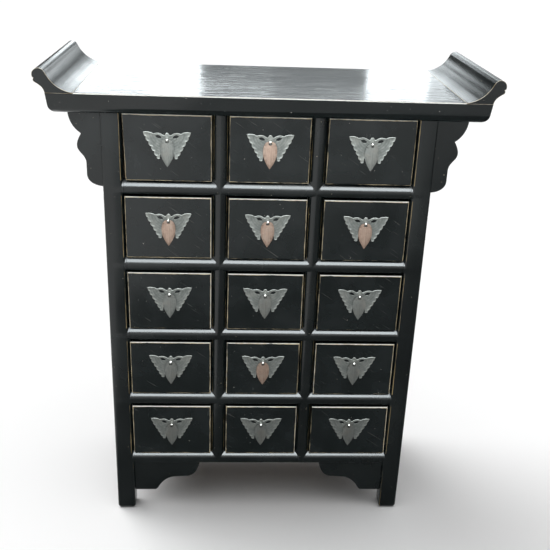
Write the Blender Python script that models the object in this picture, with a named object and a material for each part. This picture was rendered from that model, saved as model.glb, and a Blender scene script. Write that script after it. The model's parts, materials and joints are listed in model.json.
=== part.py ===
import itertools
import math

import bmesh
import bpy

for leftover in list(bpy.data.objects):
    bpy.data.objects.remove(leftover, do_unlink=True)

# Driving dimensions in metres. The front faces -Y and the cabinet stands on z = 0.
SEAT_GAP = 0.0003  # left between pieces that touch
BODY_WIDTH = 0.585  # across the outer faces of the posts
BODY_DEPTH = 0.278  # from the front posts' faces to the rear posts' backs
BODY_HEIGHT = 0.839  # floor to the underside of the top board
POST_WIDTH = 0.036
POST_DEPTH = 0.034
POST_ROUNDING = 0.003

# The front, from the floor up. The rows of drawers share the height that the rails leave.
LEG_CLEARANCE = 0.113  # floor to the lower edge of the apron rail
APRON_RAIL_HEIGHT = 0.024
ROW_COUNT = 5
ROW_STEP = 0.0017  # each row is this much lower than the one above it
RAIL_HEIGHT = 0.028
TOP_RAIL_HEIGHT = 0.006
MIDDLE_BAY_WIDTH = 0.144
UPRIGHT_WIDTH = 0.028
FRAME_RECESS = 0.001  # rails' crown behind the posts' faces
FRAME_DEPTH = 0.020
RAIL_ROUNDING = 0.004

# Brackets below the apron rail. Points are (distance from the post, drop below the rail).
BRACKET_RECESS = 0.007
BRACKET_START = (0.1335, 0.0)
BRACKET_LOBE = ((0.1295, 0.021), (0.1225, 0.035), (0.1065, 0.036))
BRACKET_SHOULDER = (0.0845, 0.0375)
BRACKET_HOLLOW = ((0.0645, 0.038), (0.0535, 0.053), (0.0465, 0.0665))
BRACKET_HEEL = (0.0425, 0.070)

# Top board and the scroll mouldings on its ends.
SLAB_THICKNESS = 0.029
FRONT_OVERHANG = 0.020
SIDE_OVERHANG = 0.085
SLAB_END_LEAN = 0.005
SLAB_ROUNDING = 0.008
SCROLL_BASE = 0.0464
SCROLL_REBATE = 0.0015  # how far the slab's ends are cut down to seat the scroll ends
SCROLL_FOOT_PULL = (0.019, 0.0035)  # curve handle, from the inner edge of the base
SCROLL_NECK_PULL = 0.022  # curve handle, back along the roll's tangent
ROLL_CENTRE = (0.0078, 0.0285)  # from the outer edge of the base
ROLL_RADIUS = 0.0112
ROLL_ANGLES = (155, -20)
BEAD_CENTRE = (0.0134, 0.0203)
BEAD_RADIUS = 0.0040
BEAD_ANGLES = (50, -45)
SCROLL_UNDERSIDE = ((0.0100, 0.0130), (0.0020, 0.0100))

# Spandrels outside the front posts. Points are (distance from the post, drop below the slab).
SPANDREL_RECESS = 0.006
SPANDREL_THICKNESS = 0.018
SPANDREL_START = (0.055, 0.0)
SPANDREL_UPPER_LOBE = ((0.055, 0.020), (0.048, 0.035), (0.0335, 0.045))
SPANDREL_CUSP = ((0.037, 0.050), (0.0415, 0.059), (0.0415, 0.066))
SPANDREL_WAIST = ((0.0415, 0.079), (0.027, 0.082), (0.027, 0.097))
SPANDREL_LOWER_EDGE = (0.027, 0.118)
SPANDREL_LOWER_LOBE = ((0.027, 0.130), (0.015, 0.138), (0.0, 0.139))

# Panels and the runner frame behind the face frame.
SIDE_PANEL_THICKNESS = 0.010
SIDE_PANEL_RECESS = 0.004
BACK_PANEL_THICKNESS = 0.008
BACK_PANEL_RECESS = 0.006
RUNNER_THICKNESS = 0.008
GUIDE_HEIGHT = 0.015
WEB_THICKNESS = 0.010

# Drawers.
FRONT_THICKNESS = 0.015
FRONT_CLEARANCE = 0.0010  # round the drawer front, inside its opening
BOX_CLEARANCE = 0.0015  # beside the drawer box
BACK_CLEARANCE = 0.002  # behind the drawer, at the back panel
BOX_WALL = 0.009
BOX_FLOOR = 0.006
BOX_DROP = 0.012  # rim of the box below the top of the drawer front

# Backplate. Half outline points are (distance from the centre line, height above the eye).
EYE_RISE = 0.0155  # eye above the middle of the drawer front
PLATE_THICKNESS = 0.0015
PLATE_FINIAL = ((0.0, 0.0118), (0.0026, 0.0106), (0.0042, 0.0080))
PLATE_BROW = ((0.0072, 0.0077), (0.0115, 0.0106), (0.0165, 0.0116), (0.0235, 0.0103))
PLATE_TIP = ((0.0280, 0.0130), (0.0350, 0.0136), (0.0410, 0.0116))
PLATE_HIP = (0.0185, -0.0305)  # lower end of the scalloped edge
PLATE_FOOT = ((0.0165, -0.0340), (0.0132, -0.0335))
PLATE_NOTCH = ((0.0115, -0.0250), (0.0, -0.0160))  # between the two wings
SCALLOPS = 5
SCALLOP_DEPTH = 0.0016
SLOT_CENTRE = (0.0147, 0.0046)
SLOT_SIZE = (0.0088, 0.0026)
SLOT_TILT = 18

# Eye on the plate and the leaf pull whose bar hangs in it.
EYE_RADIUS = 0.0036
EYE_HOLE_RADIUS = 0.0016
EYE_WIDTH = 0.0034
EYE_SINK = 0.0006  # how far the eye is let into the plate
BAR_CLEARANCE = 0.0003  # between the corners of the square bar and the eye's hole
WINDOW_SIDE_CLEARANCE = 0.0009  # on each side of the eye
WINDOW_CLEARANCE = 0.0014  # between the eye and the lower end of the window
LEAF_STRIP = 0.0020  # metal left on each side of the window
LEAF_WIDTH = 0.0244
LEAF_WIDEST_DROP = 0.018
LEAF_LENGTH = 0.0485
LEAF_SHOULDER_PULL = (0.0039, 0.0080)  # curve handles: out from the neck, and up from the widest point
LEAF_SIDE_PULL = 0.008  # curve handle, down from the widest point
LEAF_TIP_PULL = (0.0085, 0.0135)  # curve handle, from the tip

CURVE_STEPS = 6
SCALLOP_STEPS = 3
EYE_SIDES = 16
SMOOTH_ANGLE = math.radians(35)
COLUMN_NAMES = ("left", "middle", "right")

# Places worked out from the dimensions above.
front_y = -BODY_DEPTH / 2
rear_y = BODY_DEPTH / 2
outer_x = BODY_WIDTH / 2
inner_x = outer_x - POST_WIDTH
upright_x = (MIDDLE_BAY_WIDTH + UPRIGHT_WIDTH) / 2
apron_top = LEG_CLEARANCE + APRON_RAIL_HEIGHT
frame_front = front_y + FRAME_RECESS
frame_back = frame_front + FRAME_DEPTH
back_panel_front = rear_y - BACK_PANEL_RECESS - BACK_PANEL_THICKNESS
side_panel_outer = outer_x - SIDE_PANEL_RECESS
side_panel_inner = side_panel_outer - SIDE_PANEL_THICKNESS

# Rows are counted from the top down.
free_height = BODY_HEIGHT - TOP_RAIL_HEIGHT - (ROW_COUNT - 1) * RAIL_HEIGHT - apron_top
middle_row = (ROW_COUNT - 1) / 2
bay_heights = [free_height / ROW_COUNT + (middle_row - row) * ROW_STEP for row in range(ROW_COUNT)]
bay_tops = [BODY_HEIGHT - TOP_RAIL_HEIGHT]
for height in bay_heights[:-1]:
    bay_tops.append(bay_tops[-1] - height - RAIL_HEIGHT)
bay_bottoms = [high - height for high, height in zip(bay_tops, bay_heights)]
slab_bottom = BODY_HEIGHT
slab_top = slab_bottom + SLAB_THICKNESS
slab_end = outer_x + SIDE_OVERHANG
slab_front = front_y - FRONT_OVERHANG
slab_back = rear_y + FRONT_OVERHANG
under_slab = slab_bottom - SEAT_GAP
scroll_seat = slab_top - SCROLL_REBATE
rebate_x = slab_end - SCROLL_BASE  # inner end of the slab's cut-down ends

# The hinge: the leaf is as thick as the square bar that turns inside the eye's flat-sided hole.
axis_reach = EYE_RADIUS - EYE_SINK  # from the plate's face forward to the hinge axis
hole_flat = EYE_HOLE_RADIUS * math.cos(math.pi / EYE_SIDES)
leaf_thickness = math.sqrt(2) * (hole_flat - BAR_CLEARANCE)
half_window = EYE_WIDTH / 2 + WINDOW_SIDE_CLEARANCE

bays_x = (
    (-inner_x, -upright_x - UPRIGHT_WIDTH / 2),
    (-MIDDLE_BAY_WIDTH / 2, MIDDLE_BAY_WIDTH / 2),
    (upright_x + UPRIGHT_WIDTH / 2, inner_x),
)


def make_material(name, colour, roughness, metallic=0.0):
    material = bpy.data.materials.new(name)
    material.use_nodes = True
    shader = material.node_tree.nodes["Principled BSDF"]
    shader.inputs["Base Color"].default_value = (*colour, 1.0)
    shader.inputs["Roughness"].default_value = roughness
    shader.inputs["Metallic"].default_value = metallic
    material.diffuse_color = (*colour, 1.0)
    return material


lacquer = make_material("black_lacquer", (0.014, 0.016, 0.016), 0.22)
drawer_lacquer = make_material("drawer_lacquer", (0.016, 0.018, 0.018), 0.25)
bare_wood = make_material("bare_wood", (0.17, 0.105, 0.06), 0.7)
plate_metal = make_material("plate_metal", (0.29, 0.29, 0.26), 0.45, 0.9)
leaf_metal = make_material("leaf_metal", (0.36, 0.29, 0.25), 0.42, 0.9)


def mesh_from(bm, name):
    bmesh.ops.recalc_face_normals(bm, faces=bm.faces)
    mesh = bpy.data.meshes.new(name)
    bm.to_mesh(mesh)
    bm.free()
    mesh.shade_smooth()
    mesh.set_sharp_from_angle(angle=SMOOTH_ANGLE)
    return mesh


def add_object(name, mesh, material, location=(0, 0, 0), parent=None):
    part = bpy.data.objects.new(name, mesh)
    if not mesh.materials:
        mesh.materials.append(material)
    part.location = location
    part.parent = parent
    bpy.context.collection.objects.link(part)
    return part


# Solid made of the filled cells of a box grid: only faces between filled and empty cells are kept.
def cell_solid(xs, ys, zs, filled):
    bm = bmesh.new()
    lines = (xs, ys, zs)
    counts = [len(line) - 1 for line in lines]
    corners = {}

    def corner(index):
        if index not in corners:
            corners[index] = bm.verts.new([line[i] for line, i in zip(lines, index)])
        return corners[index]

    def solid(cell):
        inside = all(0 <= i < count for i, count in zip(cell, counts))
        return inside and filled(*cell)

    for cell in itertools.product(*map(range, counts)):
        if not solid(cell):
            continue
        for axis, side in itertools.product(range(3), (0, 1)):
            beyond = list(cell)
            beyond[axis] += 2 * side - 1
            if solid(beyond):
                continue
            ring = []
            for across, along in ((0, 0), (1, 0), (1, 1), (0, 1)):
                index = list(cell)
                index[axis] += side
                index[(axis + 1) % 3] += across
                index[(axis + 2) % 3] += along
                ring.append(corner(tuple(index)))
            bm.faces.new(ring if side else ring[::-1])
    return bm


def merge_flat_faces(bm):
    bmesh.ops.dissolve_limit(bm, angle_limit=math.radians(0.5), verts=bm.verts, edges=bm.edges)


def box(low, high):
    return cell_solid(*zip(low, high), lambda i, j, k: True)


def round_edges(bm, width, segments, chosen):
    edges = [edge for edge in bm.edges if chosen(*[vert.co for vert in edge.verts], edge)]
    shape = {"offset": width, "segments": segments, "profile": 0.5, "clamp_overlap": True}
    bmesh.ops.bevel(bm, geom=edges, affect="EDGES", **shape)


def bezier(start, handles, steps=CURVE_STEPS):
    controls = (start, *handles)
    points = []
    for step in range(1, steps + 1):
        t = step / steps
        weights = ((1 - t) ** 3, 3 * t * (1 - t) ** 2, 3 * t * t * (1 - t), t**3)
        x = sum(weight * control[0] for weight, control in zip(weights, controls))
        z = sum(weight * control[1] for weight, control in zip(weights, controls))
        points.append((x, z))
    return points


def arc(centre, radius, angles, steps=CURVE_STEPS):
    points = []
    for step in range(steps + 1):
        turn = math.radians(angles[0] + (angles[1] - angles[0]) * step / steps)
        points.append((centre[0] + radius * math.cos(turn), centre[1] + radius * math.sin(turn)))
    return points


# Closed prism of an outline of (x, z) points, between two depths.
def prism(outline, front, back):
    bm = bmesh.new()
    face = bm.faces.new([bm.verts.new((x, front, z)) for x, z in outline])
    sides = bmesh.ops.extrude_face_region(bm, geom=[face])["geom"]
    moved = [item for item in sides if isinstance(item, bmesh.types.BMVert)]
    bmesh.ops.translate(bm, verts=moved, vec=(0, back - front, 0))
    return bm


# Joins or cuts helper solids into a base solid and returns the finished mesh.
def combine(name, base, helpers):
    target = bpy.data.objects.new(name, mesh_from(base, name))
    bpy.context.collection.objects.link(target)
    tools = []
    for operation, bm in helpers:
        tool = bpy.data.objects.new(name + "_helper", mesh_from(bm, name + "_helper"))
        tool.hide_render = True
        tool.display_type = "WIRE"
        bpy.context.collection.objects.link(tool)
        cut = target.modifiers.new(operation.lower(), "BOOLEAN")
        cut.operation = operation
        cut.solver = "EXACT"
        cut.object = tool
        tools.append(tool)
    bpy.context.view_layer.update()
    graph = bpy.context.evaluated_depsgraph_get()
    mesh = bpy.data.meshes.new_from_object(target.evaluated_get(graph))
    for helper in (*tools, target):
        bpy.data.objects.remove(helper, do_unlink=True)
    mesh.name = name
    mesh.shade_smooth()
    mesh.set_sharp_from_angle(angle=SMOOTH_ANGLE)
    return mesh


def build_posts():
    depths = {"front": (front_y, front_y + POST_DEPTH), "rear": (rear_y - POST_DEPTH, rear_y)}
    for (place, (near, far)), side in itertools.product(depths.items(), (-1, 1)):
        low_x, high_x = sorted((side * inner_x, side * outer_x))
        bm = box((low_x, near, 0), (high_x, far, under_slab))
        round_edges(bm, POST_ROUNDING, 2, lambda a, b, edge: a.z != b.z)
        hand = "left" if side < 0 else "right"
        add_object(f"{place}_{hand}_post", mesh_from(bm, "post"), lacquer)


# The board is cut down a little at both ends, where the scroll ends are housed.
def build_top_board():
    right = [
        (rebate_x, slab_top),
        (rebate_x, scroll_seat),
        (slab_end, scroll_seat),
        (slab_end - SLAB_END_LEAN, slab_bottom),
    ]
    outline = right + [(-x, z) for x, z in reversed(right)]
    bm = prism(outline, slab_front, slab_back)
    middle = (slab_top + slab_bottom) / 2
    round_edges(bm, SLAB_ROUNDING, 3, lambda a, b, edge: max(a.z, b.z) < middle)
    add_object("top_board", mesh_from(bm, "top_board"), lacquer)


# Concave inner face, rolled tip with a bead under it, and a hollow underside back to the slab's end.
def scroll_outline():
    roll = arc(ROLL_CENTRE, ROLL_RADIUS, ROLL_ANGLES)
    turn = math.radians(ROLL_ANGLES[0])
    neck = (roll[0][0] - SCROLL_NECK_PULL * math.sin(turn), roll[0][1] + SCROLL_NECK_PULL * math.cos(turn))
    inner = (SEAT_GAP - SCROLL_BASE, 0.0)
    foot = (inner[0] + SCROLL_FOOT_PULL[0], inner[1] + SCROLL_FOOT_PULL[1])
    bead = arc(BEAD_CENTRE, BEAD_RADIUS, BEAD_ANGLES, CURVE_STEPS - 2)
    underside = bezier(bead[-1], (*SCROLL_UNDERSIDE, (0.0, 0.0)))
    seat = SEAT_GAP - SCROLL_REBATE
    outline = [inner, *bezier(inner, (foot, neck, roll[0])), *roll[1:], *bead, *underside]
    return [*outline, (0.0, seat), (inner[0], seat)]


def build_scroll_ends():
    for side, name in ((-1, "left_scroll_end"), (1, "right_scroll_end")):
        outline = [(side * (slab_end + x), slab_top + z) for x, z in scroll_outline()]
        add_object(name, mesh_from(prism(outline, slab_front, slab_back), name), lacquer)


def build_spandrels():
    points = [
        SPANDREL_START,
        *bezier(SPANDREL_START, SPANDREL_UPPER_LOBE),
        *bezier(SPANDREL_UPPER_LOBE[-1], SPANDREL_CUSP),
        *bezier(SPANDREL_CUSP[-1], SPANDREL_WAIST),
        SPANDREL_LOWER_EDGE,
        *bezier(SPANDREL_LOWER_EDGE, SPANDREL_LOWER_LOBE),
        (0.0, 0.0),
    ]
    near = front_y + SPANDREL_RECESS
    for side, name in ((-1, "left_spandrel"), (1, "right_spandrel")):
        outline = [(side * (outer_x + SEAT_GAP + x), under_slab - drop) for x, drop in points]
        add_object(name, mesh_from(prism(outline, near, near + SPANDREL_THICKNESS), name), lacquer)


# One board: the straight rail, standing forward, and a shaped bracket below each end of it.
def build_apron_rail():
    bracket = [
        BRACKET_START,
        *bezier(BRACKET_START, BRACKET_LOBE),
        BRACKET_SHOULDER,
        *bezier(BRACKET_SHOULDER, BRACKET_HOLLOW),
        BRACKET_HEEL,
        (0.0, BRACKET_HEEL[1]),
    ]
    end_x = inner_x - SEAT_GAP
    board_front = front_y + BRACKET_RECESS
    top = apron_top - SEAT_GAP
    bm = bmesh.new()

    def corner(x, z):
        return bm.verts.new((x, board_front, z))

    inner_start = end_x - BRACKET_START[0]
    ends = itertools.product((-1, 1), (inner_start, end_x))
    shared = {(side, x): corner(side * x, LEG_CLEARANCE) for side, x in ends}
    rail_ring = [shared[-1, end_x], shared[-1, inner_start], shared[1, inner_start], shared[1, end_x]]
    rail_ring += [corner(end_x, top), corner(-end_x, top)]
    faces = [bm.faces.new(rail_ring)]
    for side in (-1, 1):
        lobe = [corner(side * (end_x - x), LEG_CLEARANCE - drop) for x, drop in bracket[1:]]
        ring = [shared[side, inner_start], *lobe, shared[side, end_x]]
        faces.append(bm.faces.new(ring if side > 0 else ring[::-1]))
    back = bmesh.ops.extrude_face_region(bm, geom=faces, use_keep_orig=True)["geom"]
    moved = [item for item in back if isinstance(item, bmesh.types.BMVert)]
    bmesh.ops.translate(bm, verts=moved, vec=(0, frame_back - board_front, 0))
    forward = bmesh.ops.extrude_face_region(bm, geom=[faces[0]])["geom"]
    moved = [item for item in forward if isinstance(item, bmesh.types.BMVert)]
    bmesh.ops.translate(bm, verts=moved, vec=(0, frame_front - board_front, 0))
    bmesh.ops.delete(bm, geom=[faces[0]], context="FACES_ONLY")
    add_object("apron_rail", mesh_from(bm, "apron_rail"), lacquer)


# Rails and uprights glued up as one lattice, with the arrises round each opening eased.
def build_front_frame():
    end_x = inner_x - SEAT_GAP
    xs = [-end_x, bays_x[0][1], bays_x[1][0], bays_x[1][1], bays_x[2][0], end_x]
    zs = [apron_top]
    for low, high in zip(reversed(bay_bottoms), reversed(bay_tops)):
        zs += [low, high] if low > apron_top else [high]
    zs.append(under_slab)
    ys = [frame_front, frame_back]
    bm = cell_solid(xs, ys, zs, lambda i, j, k: i % 2 == 1 or k % 2 == 1)

    def opening_edge(a, b, edge):
        on_front = max(a.y, b.y) < frame_front + SEAT_GAP
        at_end = abs(abs(a.x + b.x) / 2 - end_x) < SEAT_GAP
        at_limit = abs(a.z + b.z - 2 * zs[0]) < SEAT_GAP or abs(a.z + b.z - 2 * zs[-1]) < SEAT_GAP
        return on_front and not at_end and not at_limit and edge.calc_face_angle() > SMOOTH_ANGLE

    round_edges(bm, RAIL_ROUNDING, 2, opening_edge)
    merge_flat_faces(bm)
    add_object("front_frame", mesh_from(bm, "front_frame"), lacquer)


def build_panels():
    near = front_y + POST_DEPTH + SEAT_GAP
    for side, name in ((-1, "left_side_panel"), (1, "right_side_panel")):
        low, high = sorted((side * side_panel_inner, side * side_panel_outer))
        bm = box((low, near, LEG_CLEARANCE), (high, -near, under_slab))
        add_object(name, mesh_from(bm, name), lacquer)
    end_x = inner_x - SEAT_GAP
    back = back_panel_front + BACK_PANEL_THICKNESS
    bm = box((-end_x, back_panel_front, LEG_CLEARANCE), (end_x, back, under_slab))
    add_object("back_panel", mesh_from(bm, "back_panel"), bare_wood)


# A shelf under each row, webs between the columns, and guide strips at the foot of each web and side.
# The shelves reach the side panels and are notched round the four posts.
def build_runner_frame():
    end_x = inner_x - SEAT_GAP
    side_x = side_panel_inner - SEAT_GAP
    half_guide = UPRIGHT_WIDTH / 2
    half_web = WEB_THICKNESS / 2
    steps = (-half_guide, -half_web, half_web, half_guide)
    xs = [-side_x, -end_x, *[-upright_x + s for s in steps], *[upright_x + s for s in steps], end_x, side_x]
    zs = []
    for low in reversed(bay_bottoms):
        zs += [low - RUNNER_THICKNESS, low, low + GUIDE_HEIGHT]
    zs.append(under_slab)
    behind_post = front_y + POST_DEPTH + SEAT_GAP
    ys = [frame_back + SEAT_GAP, behind_post, -behind_post, back_panel_front - SEAT_GAP]
    side_cells = (0, 10)
    web_cells = (3, 7)
    guide_cells = (2, 3, 4, 6, 7, 8, *side_cells)

    def filled(i, j, k):
        if j != 1 and i in side_cells:
            return False
        layer = k % 3
        return layer == 0 or (layer == 1 and i in guide_cells) or i in web_cells

    bm = cell_solid(xs, ys, zs, filled)
    merge_flat_faces(bm)
    add_object("runner_frame", mesh_from(bm, "runner_frame"), bare_wood)


# Open box with a wider, taller front. Its origin is at the foot of the front face.
def drawer_mesh(name, bay_width, bay_height):
    half_front = bay_width / 2 - FRONT_CLEARANCE
    half_box = bay_width / 2 - BOX_CLEARANCE
    length = back_panel_front - BACK_CLEARANCE - front_y
    front_low = FRONT_CLEARANCE - SEAT_GAP
    front_high = bay_height - FRONT_CLEARANCE - SEAT_GAP
    xs = [-half_front, -half_box, -half_box + BOX_WALL, half_box - BOX_WALL, half_box, half_front]
    ys = [0, FRONT_THICKNESS, length - BOX_WALL, length]
    zs = [0, front_low, BOX_FLOOR, front_high - BOX_DROP, front_high]

    def filled(i, j, k):
        if j == 0:
            return k >= 1
        in_box = 1 <= i <= 3 and k <= 2
        return in_box and (k <= 1 or i != 2 or j == 2)

    bm = cell_solid(xs, ys, zs, filled)
    merge_flat_faces(bm)
    return mesh_from(bm, name)


# Half outline from the finial out to the wing tip, down the scalloped edge and back to the notch.
def plate_outline():
    half = [*PLATE_FINIAL, *PLATE_BROW, *PLATE_TIP]
    start, end = PLATE_TIP[-1], PLATE_HIP
    run, fall = end[0] - start[0], end[1] - start[1]
    length = math.hypot(run, fall)
    steps = SCALLOPS * SCALLOP_STEPS
    for step in range(1, steps + 1):
        t = step / steps
        bulge = SCALLOP_DEPTH * abs(math.sin(math.pi * SCALLOPS * t))
        half.append((start[0] + run * t - fall / length * bulge, start[1] + fall * t + run / length * bulge))
    half += [*PLATE_FOOT, *PLATE_NOTCH]
    return half + [(-x, z) for x, z in reversed(half) if x > 0]


# Round disc lying along X. Two of them make the eye and its hole.
def eye_disc(radius, width):
    bm = bmesh.new()
    ring = arc((0, 0), radius, (0, 360), EYE_SIDES)[:-1]
    face = bm.faces.new([bm.verts.new((-width / 2, y, z)) for y, z in ring])
    sides = bmesh.ops.extrude_face_region(bm, geom=[face])["geom"]
    moved = [item for item in sides if isinstance(item, bmesh.types.BMVert)]
    bmesh.ops.translate(bm, verts=moved, vec=(width, 0, 0))
    return bm


def slot_cutter(side):
    half_length, half_height = SLOT_SIZE[0] / 2, SLOT_SIZE[1] / 2
    turn = math.radians(SLOT_TILT) * side
    corners = ((-1, -1), (1, -1), (1, 1), (-1, 1))
    outline = []
    for across, up in corners:
        x, z = across * half_length, up * half_height
        outline.append((
            side * SLOT_CENTRE[0] + x * math.cos(turn) - z * math.sin(turn),
            SLOT_CENTRE[1] + x * math.sin(turn) + z * math.cos(turn),
        ))
    return prism(outline, -2 * PLATE_THICKNESS, PLATE_THICKNESS)


# The plate's origin is on the hinge axis, so the plate itself lies behind it.
def plate_mesh():
    near = axis_reach
    base = prism(plate_outline(), near, near + PLATE_THICKNESS)
    cutters = []
    for side in (-1, 1):
        cutter = slot_cutter(side)
        bmesh.ops.translate(cutter, verts=cutter.verts, vec=(0, near + PLATE_THICKNESS / 2, 0))
        cutters.append(("DIFFERENCE", cutter))
    eye = ("UNION", eye_disc(EYE_RADIUS, EYE_WIDTH))
    hole = ("DIFFERENCE", eye_disc(EYE_HOLE_RADIUS, 2 * EYE_WIDTH))
    return combine("plate", base, [*cutters, eye, hole])


# Leaf with a window near its top. The bar above the window is the hinge.
def leaf_mesh():
    half_bar = leaf_thickness / 2
    neck = (half_window + LEAF_STRIP, half_bar)
    widest = (LEAF_WIDTH / 2, -LEAF_WIDEST_DROP)
    tip = (0.0, -LEAF_LENGTH)
    neck_handle = (neck[0] + LEAF_SHOULDER_PULL[0], neck[1])
    shoulder_handle = (widest[0], widest[1] + LEAF_SHOULDER_PULL[1])
    side_handle = (widest[0], widest[1] - LEAF_SIDE_PULL)
    tip_handle = (tip[0] + LEAF_TIP_PULL[0], tip[1] + LEAF_TIP_PULL[1])
    half = [neck]
    half += bezier(neck, (neck_handle, shoulder_handle, widest))
    half += bezier(widest, (side_handle, tip_handle, tip))
    outline = half + [(-x, z) for x, z in reversed(half) if x > 0]
    base = prism(outline, -half_bar, half_bar)
    low = (-half_window, -leaf_thickness, -EYE_RADIUS - WINDOW_CLEARANCE)
    high = (half_window, leaf_thickness, -half_bar)
    return combine("leaf", base, [("DIFFERENCE", box(low, high))])


def build_drawers():
    plate = plate_mesh()
    leaf = leaf_mesh()
    plate_reach = SEAT_GAP + PLATE_THICKNESS + axis_reach  # from the drawer front to the hinge axis
    for row, column in itertools.product(range(ROW_COUNT), range(len(COLUMN_NAMES))):
        low_x, high_x = bays_x[column]
        tag = f"row{row + 1}_{COLUMN_NAMES[column]}"
        mesh = drawer_mesh("drawer_" + tag, high_x - low_x, bay_heights[row])
        foot = ((low_x + high_x) / 2, front_y, bay_bottoms[row] + SEAT_GAP)
        drawer = add_object("drawer_" + tag, mesh, drawer_lacquer, foot)
        eye = (0, -plate_reach, bay_heights[row] / 2 + EYE_RISE)
        add_object("plate_" + tag, plate, plate_metal, eye, drawer)
        add_object("pull_" + tag, leaf, leaf_metal, eye, drawer)


build_posts()
build_top_board()
build_scroll_ends()
build_spandrels()
build_apron_rail()
build_front_frame()
build_panels()
build_runner_frame()
build_drawers()
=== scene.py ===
import json
import math

import bmesh
import bpy
import numpy as np
from mathutils import Matrix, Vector
from mathutils.geometry import delaunay_2d_cdt


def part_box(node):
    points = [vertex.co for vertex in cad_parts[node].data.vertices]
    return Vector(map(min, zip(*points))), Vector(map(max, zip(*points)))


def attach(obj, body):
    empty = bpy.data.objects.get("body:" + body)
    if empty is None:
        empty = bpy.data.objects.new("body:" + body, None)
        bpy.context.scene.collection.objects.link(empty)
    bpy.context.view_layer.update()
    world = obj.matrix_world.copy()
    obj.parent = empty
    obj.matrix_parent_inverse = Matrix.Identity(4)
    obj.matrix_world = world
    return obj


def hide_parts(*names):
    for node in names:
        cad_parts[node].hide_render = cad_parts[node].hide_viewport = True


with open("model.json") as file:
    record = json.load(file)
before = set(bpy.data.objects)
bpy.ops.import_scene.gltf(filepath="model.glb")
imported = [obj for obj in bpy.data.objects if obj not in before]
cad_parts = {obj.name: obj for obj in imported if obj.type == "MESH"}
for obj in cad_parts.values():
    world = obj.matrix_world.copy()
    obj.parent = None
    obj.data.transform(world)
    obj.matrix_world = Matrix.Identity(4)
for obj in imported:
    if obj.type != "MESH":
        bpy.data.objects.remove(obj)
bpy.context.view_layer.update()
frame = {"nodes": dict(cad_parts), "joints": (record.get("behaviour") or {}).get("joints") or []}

columns = ("left", "middle", "right")
rows = (1, 2, 3, 4, 5)
tags = [f"row{row}_{column}" for row in rows for column in columns]


# A Wire is one output socket, and sums of wires add Math nodes to its tree.
class Wire:
    def __init__(self, tree, socket=None):
        self.tree = tree
        self.socket = socket

    # Any node: its type, its settings, then the values or wires of its sockets.
    def node(self, kind, settings=None, sockets=None, out=0):
        made = self.tree.nodes.new("ShaderNode" + kind)
        for name, value in (settings or {}).items():
            setattr(made, name, value)
        for key, value in (sockets or {}).items():
            if isinstance(value, Wire):
                self.tree.links.new(value.socket, made.inputs[key])
            else:
                made.inputs[key].default_value = value
        return Wire(self.tree, made.outputs[out])

    def maths(self, operation, *values):
        return self.node("Math", {"operation": operation}, dict(enumerate(values)))

    def __add__(self, other):
        return self.maths("ADD", self, other)

    def __sub__(self, other):
        return self.maths("SUBTRACT", self, other)

    def __rsub__(self, other):
        return self.maths("SUBTRACT", other, self)

    def __mul__(self, other):
        return self.maths("MULTIPLY", self, other)

    __radd__ = __add__
    __rmul__ = __mul__

    # 0 below low, 1 above high, with an eased step between
    def step(self, low, high):
        span = {"Value": self, "From Min": low, "From Max": high}
        return self.node("MapRange", {"interpolation_type": "SMOOTHSTEP"}, span)

    def mix(self, first, second):
        return self.node("Mix", {"data_type": "RGBA"}, {0: self, 6: first, 7: second}, out=2)


def colour(red, green, blue):
    return (red, green, blue, 1.0)


def noise(place, scale, detail=3.0, rough=0.5):
    sockets = {"Vector": place, "Scale": scale, "Detail": detail, "Roughness": rough}
    return place.node("TexNoise", None, sockets)


def bumped(height, strength, distance=0.001):
    return height.node("Bump", None, {"Strength": strength, "Distance": distance, "Height": height})


def makeFinish(name, recipe, look):
    finish = bpy.data.materials.new(name)
    finish.use_nodes = True
    tree = finish.node_tree
    shader = tree.nodes["Principled BSDF"]
    for socket, value in recipe(Wire(tree), look).items():
        if isinstance(value, Wire):
            tree.links.new(value.socket, shader.inputs[socket])
        else:
            shader.inputs[socket].default_value = value
    return finish


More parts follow.
